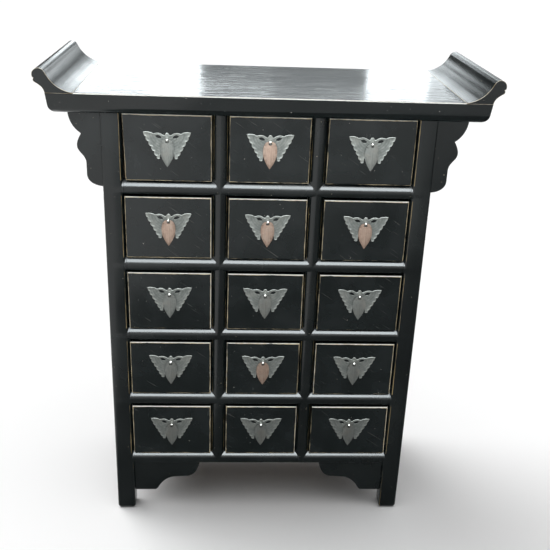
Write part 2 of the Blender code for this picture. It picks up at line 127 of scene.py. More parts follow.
# Lacquer: a near black film with soft clouds in its gloss, small chips and fine straight scratches. Where
# the flat attribute is, the grain stands up in ridges with pale streaks. Where rub is high, the ochre ground
# shows as wear; on the top edges of the top board and the drawer fronts it is also a painted highlight.
def lacquerRecipe(wire, look):
    place = wire.node("TexCoord", out="Object")
    stretched = wire.node("Mapping", None, {"Vector": place, "Scale": look["grainStretch"]})
    cloud = noise(place, look["cloudScale"], 3.0)
    grain = noise(stretched, 1.0, 5.0, 0.65)
    speck = noise(place, look["speckScale"], 2.0).step(*look["speckSpan"])
    turned = {"Vector": place, "Rotation": look["scratchTurn"], "Scale": look["scratchSize"]}
    drawn = wire.node("Mapping", {"vector_type": "TEXTURE"}, turned)
    scratch = noise(drawn, 1.0, 1.0).step(*look["scratchSpan"])
    flat = wire.node("Attribute", {"attribute_name": "flat"}, out=2)
    ridge = noise(stretched, look["ridgeScale"], 2.0, 0.6) * flat
    streak = ridge.step(*look["streakSpan"]) * cloud.step(*look["streakClouds"])
    rub = wire.node("Attribute", {"attribute_name": "rub"}, out=2)
    patchy = noise(place, look["patchScale"], 4.0, 0.6)
    bare = (rub * (patchy * look["patchGain"] + look["patchLeast"])).step(*look["bareSpan"])
    film = cloud.step(*look["filmSpan"]).mix(look["deep"], look["pale"])
    thin = noise(place, look["groundScale"], 3.0) + rub * look["groundGain"] - look["groundLoss"]
    ground = thin.step(*look["groundSpan"]).mix(look["ochre"], look["cream"])
    marks = speck * look["chips"] + scratch * look["scratches"] + streak * look["streaks"]
    marked = marks.mix(film, look["cream"])
    gloss = look["gloss"] + cloud.step(*look["glossSpan"]) * look["glossSpread"]
    gloss = gloss + grain.step(*look["grainSpan"]) * look["grainDull"]
    height = grain * look["grainRise"] + cloud * look["waveRise"] + ridge * look["ridgeRise"]
    return {
        "Base Color": bare.mix(marked, ground),
        "Roughness": gloss + bare * look["bareDull"],
        "Normal": bumped(height - bare * look["bareDrop"], look["bump"]),
        "IOR": 1.5,
    }


# Sawn softwood: a light ground with darker grain lines drawn out along the board.
def woodRecipe(wire, look):
    place = wire.node("TexCoord", out="Object")
    stretched = wire.node("Mapping", None, {"Vector": place, "Scale": look["grainStretch"]})
    grain = noise(stretched, 1.0, 6.0, 0.6)
    ring = noise(stretched, look["ringScale"], 2.0).step(*look["ringSpan"])
    dirt = noise(place, look["dirtScale"], 4.0).step(*look["dirtSpan"])
    board = grain.step(*look["grainSpan"]).mix(look["light"], look["dark"])
    ringed = (ring * look["rings"]).mix(board, look["dark"])
    return {
        "Base Color": (dirt * look["dirt"]).mix(ringed, look["grime"]),
        "Roughness": look["gloss"] + grain * look["grainDull"],
        "Normal": bumped(grain, look["bump"]),
    }


# Aged cast metal: dark tarnish low in the relief, brighter rubbed metal where the relief attribute is high,
# and painted black shade where the hollow attribute is, round holes and on hidden faces.
def metalRecipe(wire, look):
    place = wire.node("TexCoord", out="Object")
    relief = wire.node("Attribute", {"attribute_name": "relief"}, out=2)
    hollow = wire.node("Attribute", {"attribute_name": "hollow"}, out=2)
    blotch = noise(place, look["blotchScale"], 4.0, 0.6)
    grit = noise(place, look["gritScale"], 3.0, 0.6)
    rubbed = relief * look["reliefGain"] + (blotch - 0.5) * look["blotchGain"] + look["brightLeast"]
    bright = rubbed.step(*look["brightSpan"])
    toned = bright.mix(look["tarnish"], look["metal"])
    warm = noise(place, look["warmScale"], 2.0).step(*look["warmSpan"]) * look["warmth"]
    return {
        "Base Color": hollow.step(*look["hollowSpan"]).mix(warm.mix(toned, look["tint"]), look["grime"]),
        "Metallic": look["metallic"],
        "Roughness": look["gloss"] + (1 - bright) * look["tarnishDull"] + (grit - 0.5) * look["gritDull"],
        "Normal": bumped(grit + blotch, look["bump"], look["bumpDepth"]),
    }


lacquerLook = {
    "deep": colour(0.0048, 0.0084, 0.0086),
    "pale": colour(0.0104, 0.0156, 0.0158),
    "ochre": colour(0.56, 0.41, 0.18),
    "cream": colour(0.86, 0.76, 0.54),
    "cloudScale": 7.0, "filmSpan": (0.3, 0.7),
    "grainStretch": (14.0, 14.0, 3.0), "grainSpan": (0.5, 0.72), "grainDull": 0.04, "grainRise": 0.25,
    "patchScale": 13.0, "patchGain": 1.5, "patchLeast": 0.25,
    "bareSpan": (0.52, 0.80), "bareDull": 0.1, "bareDrop": 0.4,
    "groundScale": 130.0, "groundGain": 1.6, "groundLoss": 1.36, "groundSpan": (0.35, 0.65),
    "speckScale": 260.0, "speckSpan": (0.75, 0.78), "chips": 0.5,
    "scratchTurn": (0.0, 0.6, 0.0), "scratchSize": (0.05, 0.03, 0.0022), "scratchSpan": (0.73, 0.77),
    "scratches": 0.0,
    "streakSpan": (0.55, 0.64), "streakClouds": (0.42, 0.60), "streaks": 0.0,
    "ridgeScale": 0.85, "ridgeRise": 0.0,
    "gloss": 0.19, "glossSpan": (0.35, 0.75), "glossSpread": 0.12,
    "waveRise": 0.9,
    "bump": 0.18,
}
carcassLacquer = makeFinish("carcassLacquer", lacquerRecipe, lacquerLook)
# The top's pale ochre and cream show on its rubbed top edges as wear and as a painted highlight.
topLacquer = makeFinish("topLacquer", lacquerRecipe, {
    **lacquerLook,
    "patchScale": 46.0,
    "ochre": colour(0.78, 0.72, 0.58),
    "cream": colour(0.90, 0.88, 0.80),
    "grainStretch": (24.0, 105.0, 105.0),
    "streaks": 0.09,
    "ridgeRise": 3.1,
    "gloss": 0.10,
    "glossSpread": 0.05,
    "grainDull": 0.07,
    "grainRise": 0.35,
    "chips": 0.8,
    "bump": 0.12,
})
scrollLacquer = makeFinish("scrollLacquer", lacquerRecipe, {
    **lacquerLook,
    "grainStretch": (60.0, 9.0, 60.0),
    "gloss": 0.16,
    "glossSpread": 0.08,
    "chips": 0.8,
})
# The fronts' whiter cream shows on their worn edges and as the painted highlight on their top edges.
frontLacquer = makeFinish("frontLacquer", lacquerRecipe, {
    **lacquerLook,
    "deep": colour(0.0070, 0.0121, 0.0122),
    "pale": colour(0.0130, 0.0192, 0.0202),
    "cloudScale": 15.0,
    "grainStretch": (60.0, 60.0, 16.0),
    "patchScale": 30.0,
    "ochre": colour(0.72, 0.59, 0.36),
    "cream": colour(0.96, 0.93, 0.84),
    "scratches": 0.06,
    "gloss": 0.17,
    "glossSpread": 0.09,
    "waveRise": 1.0,
})
rubbedArris = makeFinish("rubbedArris", lacquerRecipe, {
    **lacquerLook,
    "deep": colour(0.42, 0.31, 0.16),
    "pale": colour(0.86, 0.78, 0.62),
    "cloudScale": 60.0,
    "gloss": 0.3,
})
woodLook = {
    "grainStretch": (120.0, 7.0, 120.0), "grainSpan": (0.35, 0.7), "grainDull": 0.2,
    "ringScale": 0.35, "ringSpan": (0.5, 0.62), "rings": 0.5,
    "dirtScale": 9.0, "dirtSpan": (0.5, 0.8), "dirt": 0.55,
    "gloss": 0.62,
    "bump": 0.25,
}
bareWood = makeFinish("bareWood", woodRecipe, {
    **woodLook,
    "light": colour(0.34, 0.225, 0.125),
    "dark": colour(0.20, 0.115, 0.055),
    "grime": colour(0.12, 0.075, 0.042),
})
runnerWood = makeFinish("runnerWood", woodRecipe, {
    **woodLook,
    "light": colour(0.085, 0.062, 0.042),
    "dark": colour(0.05, 0.035, 0.024),
    "grime": colour(0.03, 0.024, 0.018),
})
backBoard = makeFinish("backBoard", woodRecipe, {
    **woodLook,
    "light": colour(0.085, 0.05, 0.03),
    "dark": colour(0.045, 0.026, 0.016),
    "grime": colour(0.03, 0.02, 0.014),
    "grainStretch": (90.0, 90.0, 5.0),
})
metalLook = {
    "tarnish": colour(0.118, 0.124, 0.116),
    "metal": colour(0.265, 0.274, 0.256),
    "tint": colour(0.225, 0.223, 0.20),
    # Near black colour that paints shade into the slits and onto the hidden faces.
    "grime": colour(0.012, 0.012, 0.011),
    "reliefGain": 0.75, "brightLeast": 0.12, "brightSpan": (0.05, 0.85),
    "blotchScale": 140.0, "blotchGain": 0.9,
    "gritScale": 900.0, "gritDull": 0.12,
    "warmScale": 60.0, "warmSpan": (0.45, 0.75), "warmth": 0.4,
    "hollowSpan": (0.2, 0.8),
    "metallic": 0.85,
    "gloss": 0.42, "tarnishDull": 0.2,
    "bump": 0.5, "bumpDepth": 0.0004,
}
plateMetal = makeFinish("plateMetal", metalRecipe, metalLook)
studMetal = makeFinish("studMetal", metalRecipe, {
    **metalLook,
    "tarnish": colour(0.36, 0.36, 0.34),
    "metal": colour(0.62, 0.62, 0.59),
    "gloss": 0.24,
})
leafGrey = makeFinish("leafGrey", metalRecipe, {
    **metalLook,
    "tarnish": colour(0.115, 0.12, 0.112),
    "metal": colour(0.215, 0.22, 0.205),
    "tint": colour(0.215, 0.202, 0.178),
    "warmth": 0.5,
})
leafCopper = makeFinish("leafCopper", metalRecipe, {
    **metalLook,
    "tarnish": colour(0.20, 0.138, 0.106),
    "metal": colour(0.40, 0.29, 0.23),
    "tint": colour(0.40, 0.335, 0.28),
    "warmth": 0.5,
})
print("finishes:", len(bpy.data.materials))


tiny = 1e-6  # points closer than this, in metres, count as one


# Cubic curve: Bernstein weights times the four handles.
def curve(controls, count=17):
    t = np.linspace(0, 1, count)[:, None]
    a, b, c, d = np.asarray(controls, float)
    return (1 - t) ** 3 * a + 3 * t * (1 - t) ** 2 * b + 3 * t * t * (1 - t) * c + t**3 * d


# Circular arc between two angles in degrees.
def arcRun(centre, radius, angles, count=17):
    t = np.radians(np.linspace(*angles, count))
    return np.column_stack([centre[0] + radius * np.cos(t), centre[1] + radius * np.sin(t)])


# Smooth run through points: Catmull-Rom weights on each span, with the end points doubled.
def through(points, perSpan=6):
    p = np.asarray(points, float)
    p = np.vstack([2 * p[0] - p[1], p, 2 * p[-1] - p[-2]])
    t = np.linspace(0, 1, perSpan, endpoint=False)[None, :, None]
    a, b, c, d = (p[k : len(p) - 3 + k][:, None] for k in range(4))
    spans = b + 0.5 * t * (c - a + t * (2 * a - 5 * b + 4 * c - d + t * (3 * (b - c) + d - a)))
    return np.vstack([spans.reshape(-1, p.shape[1]), p[-2]])


def joinRuns(*runs):
    points = np.vstack([np.atleast_2d(np.asarray(run, float)) for run in runs])
    apart = np.linalg.norm(np.diff(points, axis=0), axis=1) > tiny
    return points[np.r_[True, apart]]


def mirrored(half):
    other = half[::-1] * [-1, 1]
    return np.vstack([half, other[np.abs(other[:, 0]) > tiny]])


# 0 up to a start, then rising evenly to 1 over a reach.
def fade(values, start, reach):
    return np.clip((values - start) / reach, 0, 1)


# How far a quarter round has fallen away, from its radius at share 0 to nothing at share 1.
def roundFall(radius, share):
    return radius * (1 - np.sqrt(1 - (1 - share) ** 2))


# Grids or single values of x, y and z as one list of points.
def listed(x, y, z):
    return np.column_stack([grid.ravel() for grid in np.broadcast_arrays(x, y, z)])


def gridQuads(count, width, closed=False):
    i = np.arange(count * width).reshape(count, width)
    if closed:
        i = np.column_stack([i, i[:, :1]])
    return np.stack([i[:-1, :-1], i[:-1, 1:], i[1:, 1:], i[1:, :-1]], -1).reshape(-1, 4)


def placed(name, data):
    thing = bpy.data.objects.new(name, data)
    bpy.context.collection.objects.link(thing)
    return thing


# Makes the mesh object, closes its seams, drops flat faces, turns the rest outwards and hangs it on its body.
def makePiece(name, points, faces, finishes, body, stands, marks=None, sharp=38):
    mesh = bpy.data.meshes.new(name)
    mesh.from_pydata(np.asarray(points, float).tolist(), [], [list(map(int, face)) for face in faces])
    for mark, values in (marks or {}).items():
        layer = mesh.attributes.new(mark, "FLOAT", "POINT")
        layer.data.foreach_set("value", np.asarray(values, np.float32))
    shell = bmesh.new()
    shell.from_mesh(mesh)
    bmesh.ops.remove_doubles(shell, verts=shell.verts, dist=tiny)
    bmesh.ops.dissolve_degenerate(shell, edges=shell.edges, dist=tiny)
    loose = [vert for vert in shell.verts if not vert.link_faces]
    bmesh.ops.delete(shell, geom=loose, context="VERTS")
    bmesh.ops.recalc_face_normals(shell, faces=shell.faces)
    shell.to_mesh(mesh)
    shell.free()
    mesh.shade_smooth()
    mesh.set_sharp_from_angle(angle=math.radians(sharp))
    for finish in finishes:
        mesh.materials.append(finish)
    piece = placed(name, mesh)
    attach(piece, body)
    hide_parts(*stands)
    return piece


def makeCabinetPiece(name, points, faces, finishes, node, marks=None, sharp=38):
    return makePiece(name, points, faces, finishes, "cabinet", [node], marks, sharp)


softening = {"angle": 40, "weld": 0.00002}


# Rounds every sharp edge of a piece. The new faces may take the piece's second finish.
def soften(piece, width, segments=3, finish=-1):
    bevel = piece.modifiers.new("soften", "BEVEL")
    bevel.width = width
    bevel.segments = segments
    bevel.limit_method = "ANGLE"
    bevel.angle_limit = math.radians(softening["angle"])
    bevel.material = finish
    bevel.harden_normals = True
    weld = piece.modifiers.new("weld", "WELD")
    weld.merge_threshold = softening["weld"]


# Outline in (x, z) carried straight from one depth to another, with a flat cap at each end.
def carried(outline, front, back):
    count = len(outline)
    x, z = outline.T
    points = listed(x, [[front], [back]], z)
    faces = gridQuads(2, count, closed=True).tolist()
    faces += [list(range(count))[::-1], list(range(count, 2 * count))]
    return points, faces


topBoard = {
    "lowerRound": 0.0130,
    "upperRound": 0.0018,
    "rubMargin": 0.0008,
    "lean": 0.005,
    "rebate": 0.0015,
    "scrollBase": 0.0464,
    "rimDrop": 0.0055,
    "rimWidth": 0.0185,
    "endRimWidth": 0.028,
    "arc": 7,
}


# Strips between the front and back halves of the end sections, with one face below them and one above.
def topCaps(count, first, last, far):
    i = np.arange(first, last)
    cap = np.column_stack([i, i + 1, 2 * count - 2 - i, 2 * count - 1 - i]).tolist()
    cap += [[*range(first + 1), *range(2 * count - 1 - first, 2 * count)], range(last, 2 * count - last)]
    return cap + [[k + far for k in face] for face in cap]


# Half a section, bottom centre to top centre, has a quarter round of each radius at the front edge. It is
# mirrored to the back and carried along x. The end stations lean in and round under as the front does.
# The underside is hollowed to sit over the body, so the rim hangs below the body's top all round.
def buildTopBoard():
    low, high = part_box("top_board")
    size = topBoard
    lower, upper = size["lowerRound"], size["upperRound"]
    foot = low.z - size["rimDrop"]
    under = arcRun((lower, foot + lower), lower, (270, 180), size["arc"])
    over = arcRun((upper, high.z - upper), upper, (180, 90), size["arc"])
    middle = (high.y - low.y) / 2
    edge = upper + size["rubMargin"]
    hollow = ((middle, low.z), (size["rimWidth"], low.z))
    half = joinRuns(
        *hollow, (size["rimWidth"], foot), under, (0.0, high.z - edge), over, (edge, high.z), (middle, high.z)
    )
    inset, z = half.T
    # The upper quarter rounds are marked as rubbed: worn edges with a painted highlight along them.
    wearAndHighlight = (inset < upper + tiny) & (z > high.z - upper - tiny)
    solid = z.copy()
    solid[: len(hollow)] = foot
    tuck = roundFall(lower, fade(solid, foot, lower))
    end = high.x - size["lean"] * (1 - (solid - foot) / (high.z - foot)) - tuck
    sill = high.z - size["rebate"]
    seat, rim = np.minimum(z, sill), np.minimum(solid, sill)
    bench = np.full_like(z, high.x - size["scrollBase"])
    step = np.full_like(z, high.x - size["endRimWidth"])
    left = ((-end, rim), (-step, rim), (-step, seat), (-bench, seat), (-bench, z))
    stations = (*left, *((-x, tall) for x, tall in left[::-1]))
    upperFace = z > high.z - tiny
    points, rub, flat = [], [], []
    for x, tall in stations:
        wearAndHighlightHere = wearAndHighlight & (tall is z)
        rub += [wearAndHighlightHere, wearAndHighlightHere[::-1]]
        flat += [upperFace, upperFace[::-1]]
        points += [listed(x, low.y + inset, tall), listed(x, high.y - inset, tall)[::-1]]
    count = len(half)
    first, last = int(np.argmax(solid > foot)), int(np.argmax(z > sill))
    faces = gridQuads(len(stations), 2 * count, closed=True).tolist()
    faces += topCaps(count, first, last, (len(stations) - 1) * 2 * count)
    marks = {"rub": np.concatenate(rub), "flat": np.concatenate(flat)}
    makeCabinetPiece("topBoard", np.vstack(points), faces, [topLacquer], "top_board", marks, sharp=50)


scrollEnd = {
    "footPull": (0.019, 0.0035),
    "neckPull": 0.022,
    "rollCentre": (0.0078, 0.0285),
    "rollRadius": 0.0112,
    "rollAngles": (155, -20),
    "beadCentre": (0.0134, 0.0203),
    "beadRadius": 0.0040,
    "beadAngles": (50, -45),
    "underside": ((0.0100, 0.0130), (0.0020, 0.0100)),
    "steps": {"hollow": 25, "roll": 25, "bead": 11, "underside": 13},
    "gap": 0.0003,
    "edge": 0.0011,
}


# Profile: a hollow inner face, a rolled tip, a bead under it and a hollow underside, carried front to back.
def buildScrollEnds():
    low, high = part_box("top_board")
    size = scrollEnd
    steps = size["steps"]
    roll = arcRun(size["rollCentre"], size["rollRadius"], size["rollAngles"], steps["roll"])
    bead = arcRun(size["beadCentre"], size["beadRadius"], size["beadAngles"], steps["bead"])
    turn = math.radians(size["rollAngles"][0])
    neck = roll[0] + size["neckPull"] * np.array([-math.sin(turn), math.cos(turn)])
    inner = np.array([size["gap"] - topBoard["scrollBase"], 0.0])
    hollow = curve((inner, inner + size["footPull"], neck, roll[0]), steps["hollow"])
    under = curve((bead[-1], *size["underside"], (0.0, 0.0)), steps["underside"])
    seat = size["gap"] - topBoard["rebate"]
    profile = joinRuns(hollow, roll, bead, under, (0.0, seat), (inner[0], seat))
    for side, name in ((-1, "left_scroll_end"), (1, "right_scroll_end")):
        outline = np.column_stack([side * (high.x + profile[:, 0]), high.z + profile[:, 1]])
        points, faces = carried(outline, low.y, high.y)
        piece = makeCabinetPiece(name + "_moulding", points, faces, [scrollLacquer, rubbedArris], name)
        soften(piece, size["edge"], finish=1)


# The drawer openings, from the drawers' own boxes and the clearance round them.
bay = {"sideGap": 0.001, "footGap": 0.0003, "topGap": 0.001}
boxes = [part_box("drawer_" + tag) for tag in tags]
bays = np.array([(low.x, high.x, low.z, high.z) for low, high in boxes])
bays += np.array([-bay["sideGap"], bay["sideGap"], -bay["footGap"], bay["topGap"]])

moulding = {
    "railHead": 0.0138,
    "railFoot": 0.0070,
    "postRound": 0.0055,
    "uprightRound": 0.0138,
    "depth": 0.0085,
    "ease": 2.0,
    "spread": (0.0, 0.05, 0.1, 0.16, 0.24, 0.34, 0.46, 0.6, 0.78, 1.0),
    "mitreEnds": (0.0004, 0.0015),
    "frameWear": (0.16, 0.12),
    "frameRub": 0.64,
    "postRub": 0.80,
    "legRub": 0.66,
    "postWear": (0.80, 0.30),
    "legWear": (0.55, 0.45),
    "legRound": 0.0035,
    "legTop": 0.113,
    "legStep": 0.001,
}
leftRound, rightRound = (
    np.where([tag.endswith(hand) for tag in tags], moulding["postRound"], moulding["uprightRound"])
    for hand in ("left", "right")
)
spread = np.array(moulding["spread"])
mitreEnds = np.array(moulding["mitreEnds"])


# Distance from (x, z) out to the nearest opening, 0 at its arris and 1 on the crown. The larger of the
# sideways and upright shares counts, so that the mouldings meet in mitres and in points.
def arrisShare(x, z, sidesOnly=False):
    x, z = np.asarray(x)[..., None], np.asarray(z)[..., None]
    across = np.maximum((bays[:, 0] - x) / leftRound, (x - bays[:, 1]) / rightRound)
    along = np.maximum((bays[:, 2] - z) / moulding["railHead"], (z - bays[:, 3]) / moulding["railFoot"])
    along = np.where(along > 0, np.inf, along) if sidesOnly else along
    return np.clip(np.maximum(across, along).min(-1), 0, 1)


# Eased chamfer: a power of the share left to the crown, so the face falls by its depth at the arris.
def faceFall(share):
    return moulding["depth"] * (1 - share) ** moulding["ease"]


# Worn line at one share between arris and crown, fading over another.
def wornLine(share, wear):
    return np.clip(1 - np.abs(share - wear[0]) / wear[1], 0, 1)


# Solid with a shaped front over the filled cells of an (x, z) grid. Each cell is split along the diagonal
# with the greater fall, so that mitres stay crisp. Walls close it at every edge of the filled cells.
def shapedFront(xs, zs, filled, front, back):
    wide, tall = len(xs), len(zs)
    gridX, gridZ = np.meshgrid(xs, zs, indexing="ij")
    points = np.vstack([listed(gridX, front, gridZ), listed(gridX, back, gridZ)])
    index = np.arange(wide * tall).reshape(wide, tall)
    a, b, c, d = (part[filled] for part in (index[:-1, :-1], index[1:, :-1], index[1:, 1:], index[:-1, 1:]))
    flat = front.ravel()
    first = np.abs(flat[a] - flat[c]) >= np.abs(flat[b] - flat[d])
    face = np.vstack([
        np.where(first[:, None], np.column_stack([a, b, c]), np.column_stack([a, b, d])),
        np.where(first[:, None], np.column_stack([a, c, d]), np.column_stack([b, c, d])),
    ])
    shift = wide * tall
    ringed = np.pad(filled, 1)
    stepX = ringed[1:, 1:-1] != ringed[:-1, 1:-1]
    stepZ = ringed[1:-1, 1:] != ringed[1:-1, :-1]
    low, high = index[:, :-1][stepX], index[:, 1:][stepX]
    left, right = index[:-1, :][stepZ], index[1:, :][stepZ]
    start, stop = np.r_[low, left], np.r_[high, right]
    wall = np.column_stack([start, stop, stop + shift, start + shift])
    plain = np.column_stack([a, d, c, b]) + shift
    return points, face.tolist() + plain.tolist() + wall.tolist()


# Grid lines across a moulding between two arrises, close together at both.
def mouldingLines(start, stop, firstRound, secondRound):
    lines = np.r_[start + spread * firstRound, stop - spread * secondRound]
    return np.unique(np.round(lines[(lines >= start) & (lines <= stop)], 6))


# Grid lines across a whole rail, close together on the two uprights of a row.
def uprightLines(start, stop, row):
    wide = moulding["uprightRound"]
    left, middle, right = bays[3 * row : 3 * row + 3]
    first = mouldingLines(left[1], middle[0], wide, wide)
    return np.r_[start, first, mouldingLines(middle[1], right[0], wide, wide), stop]


# Lines just inside the head and foot of every row's openings, where mitres start.
def mitreLines():
    return np.r_[(bays[::3, 2:3] + mitreEnds).ravel(), (bays[::3, 3:4] - mitreEnds).ravel()]


def buildFrontFrame():
    low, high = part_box("front_frame")
    xs = uprightLines(low.x, high.x, 0)
    foot, head = moulding["railFoot"], moulding["railHead"]
    steps = [mouldingLines(bays[k + 3][3], bays[k][2], foot, head) for k in (9, 6, 3, 0)]
    crown = bays[0][3] + spread * foot
    zs = np.r_[low.z, np.concatenate(steps), crown[crown < high.z], high.z, mitreLines()]
    zs = np.unique(np.round(zs, 6))
    share = arrisShare(*np.meshgrid(xs, zs, indexing="ij"))
    midX, midZ = (xs[1:] + xs[:-1]) / 2, (zs[1:] + zs[:-1]) / 2
    x, z = midX[:, None, None], midZ[None, :, None]
    hollow = ((x > bays[:, 0]) & (x < bays[:, 1]) & (z > bays[:, 2]) & (z < bays[:, 3])).any(-1)
    points, faces = shapedFront(xs, zs, ~hollow, low.y + faceFall(share), high.y)
    sides = arrisShare(*np.meshgrid(xs, zs, indexing="ij"), sidesOnly=True)
    line = wornLine(sides, moulding["frameWear"]).ravel() * moulding["frameRub"]
    rub = np.r_[line, np.zeros(share.size)]
    makeCabinetPiece("frontFrame", points, faces, [carcassLacquer], "front_frame", {"rub": rub})


apron = {
    "lowerRound": 0.0035,
    "lowerFall": 0.002,
    "start": (0.1335, 0.0),
    "lobe": ((0.1295, 0.021), (0.1225, 0.035), (0.1065, 0.036)),
    "shoulder": (0.0845, 0.0375),
    "hollow": ((0.0645, 0.038), (0.0535, 0.053), (0.0465, 0.0665)),
    "heel": (0.0425, 0.070),
    "recess": 0.0048,
    "lap": 0.004,
    "backGap": 0.0005,
    "edge": 0.0012,
}


# The rail is a shaped front with its lower arris eased too. A bracket is an outline carried back from a
# face that lies behind the rail's, lapped a little way up behind it.
def buildApron():
    low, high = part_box("apron_rail")
    size = apron
    underRail = moulding["legTop"]
    xs = uprightLines(low.x, high.x, 4)
    zs = np.unique(np.r_[underRail + spread * size["lowerRound"], high.z - spread * moulding["railHead"]])
    gridX, gridZ = np.meshgrid(xs, zs, indexing="ij")
    share = arrisShare(gridX, gridZ)
    fall = faceFall(share) + roundFall(size["lowerFall"], fade(gridZ, underRail, size["lowerRound"]))
    filled = np.ones((len(xs) - 1, len(zs) - 1), bool)
    points, faces = shapedFront(xs, zs, filled, low.y + fall, high.y)
    makeCabinetPiece("apronRail", points, faces, [carcassLacquer], "apron_rail")
    bracket = joinRuns(
        (size["start"][0], -size["lap"]),
        curve((size["start"], *size["lobe"])),
        size["shoulder"],
        curve((size["shoulder"], *size["hollow"])),
        size["heel"],
        (0.0, size["heel"][1]),
        (0.0, -size["lap"]),
    )
    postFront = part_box("front_left_post")[0].y
    for side, name in ((-1, "leftBracket"), (1, "rightBracket")):
        outline = np.column_stack([side * (high.x - bracket[:, 0]), underRail - bracket[:, 1]])
        points, faces = carried(outline, postFront + size["recess"], high.y - size["backGap"])
        soften(makeCabinetPiece(name, points, faces, [carcassLacquer], "apron_rail"), size["edge"])


post = {
    "round": 0.0045,
    "arc": 6,
    "footRows": (0.0, 0.0008, 0.0022, 0.0045, 0.008),
    "footTuck": (0.0050, 0.0030, 0.0014, 0.0004, 0.0),
    "probe": 2e-6,
}


# On a front post the inner front arris falls back beside each opening, runs out in a mitre at each rail and
# is a quarter round on the leg. Gives its fall and its wear over the face's grid.
def postArris(gridX, gridZ, inner, side):
    size = moulding
    probe = gridX - side * post["probe"]
    legShare = fade(np.abs(gridX - inner), 0.0, size["legRound"])
    inLeg = gridZ < size["legTop"] - size["legStep"] / 2
    fall = np.where(inLeg, roundFall(size["legRound"], legShare), faceFall(arrisShare(probe, gridZ)))
    legLine = wornLine(legShare, size["legWear"]) * size["legRub"]
    line = wornLine(arrisShare(probe, gridZ, sidesOnly=True), size["postWear"]) * size["postRub"]
    return fall, np.where(inLeg, legLine, line)


# Draws a ring in towards its middle by the tuck, though not past it.
def tucked(ring, middle, tuck):
    return ring - np.sign(ring - middle) * np.minimum(tuck, np.abs(ring - middle))


# A ring of face lines and quarter rounds, carried up through the levels. The foot tucks in.
def buildPost(place, side, levels):
    radius = post["round"]
    node = f"{place}_left_post" if side < 0 else f"{place}_right_post"
    low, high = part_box(node)
    inner, outer = (high.x, low.x) if side < 0 else (low.x, high.x)
    innerX, outerX = inner + side * radius, outer - side * radius
    frontY, backY = low.y + radius, high.y - radius
    corners = [
        ((outerX, frontY), (270, 270 + side * 90)),
        ((outerX, backY), (90 - side * 90, 90)),
        ((innerX, backY), (90, 90 + side * 90)),
    ]
    zs = np.unique(np.round(np.r_[levels, high.z], 6))
    zs = zs[(zs >= low.z) & (zs <= high.z)]
    if place == "front":
        gridZ, gridX = np.meshgrid(zs, inner + side * spread * moulding["postRound"], indexing="ij")
        fall, rub = postArris(gridX, gridZ, inner, side)
    else:
        corners.append(((innerX, frontY), (90 + side * 90, 270)))
        gridX = np.full((len(zs), 1), innerX)
        fall, rub = np.zeros_like(gridX), np.zeros_like(gridX)
    plain = joinRuns(*(arcRun(centre, radius, angles, post["arc"]) for centre, angles in corners))
    ringX = np.column_stack([gridX, np.tile(plain[:, 0], (len(zs), 1))])
    ringY = np.column_stack([low.y + fall, np.tile(plain[:, 1], (len(zs), 1))])
    tuck = np.interp(zs, post["footRows"], post["footTuck"])[:, None]
    ringX = tucked(ringX, (low.x + high.x) / 2, tuck)
    ringY = tucked(ringY, (low.y + high.y) / 2, tuck)
    width = ringX.shape[1]
    points = listed(ringX, ringY, zs[:, None])
    faces = gridQuads(len(zs), width, closed=True).tolist()
    faces += [list(range(width)), list(range(len(points) - width, len(points)))]
    marks = np.column_stack([rub, np.zeros((len(zs), len(plain)))]).ravel()
    makeCabinetPiece(node + "_shaped", points, faces, [carcassLacquer], node, {"rub": marks})


# Levels on every rail, in the mitres, at the top of the leg and in the foot.
def buildPosts():
    legTop = moulding["legTop"]
    heads = (bays[::3, 2:3] - spread * moulding["railHead"]).ravel()
    feet = (bays[::3, 3:4] + spread * moulding["railFoot"]).ravel()
    levels = np.r_[post["footRows"], heads, feet, mitreLines(), legTop - moulding["legStep"], legTop]
    for place in ("front", "rear"):
        for side in (-1, 1):
            buildPost(place, side, levels)


spandrel = {
    "start": (0.055, 0.0),
    "upperLobe": ((0.055, 0.020), (0.048, 0.035), (0.0335, 0.045)),
    "cusp": ((0.037, 0.050), (0.0415, 0.059), (0.0415, 0.066)),
    "waist": ((0.0415, 0.079), (0.027, 0.082), (0.027, 0.097)),
    "lowerEdge": (0.027, 0.118),
    "lowerLobe": ((0.027, 0.130), (0.015, 0.138), (0.0, 0.139)),
    "letIn": 0.003,
    "edge": 0.0014,
}


# An outline carried back, let a little way into the post beside it.
def buildSpandrels():
    size = spandrel
    shape = joinRuns(
        curve((size["start"], *size["upperLobe"])),
        curve((size["upperLobe"][-1], *size["cusp"])),
        curve((size["cusp"][-1], *size["waist"])),
        size["lowerEdge"],
        curve((size["lowerEdge"], *size["lowerLobe"])),
        (-size["letIn"], size["lowerLobe"][-1][1]),
        (-size["letIn"], 0.0),
    )
    for side, name in ((-1, "left_spandrel"), (1, "right_spandrel")):
        low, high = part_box(name)
        inner = high.x if side < 0 else low.x
        outline = np.column_stack([inner + side * shape[:, 0], high.z - shape[:, 1]])
        points, faces = carried(outline, low.y, high.y)
        soften(makeCabinetPiece(name + "_board", points, faces, [carcassLacquer], name), size["edge"])


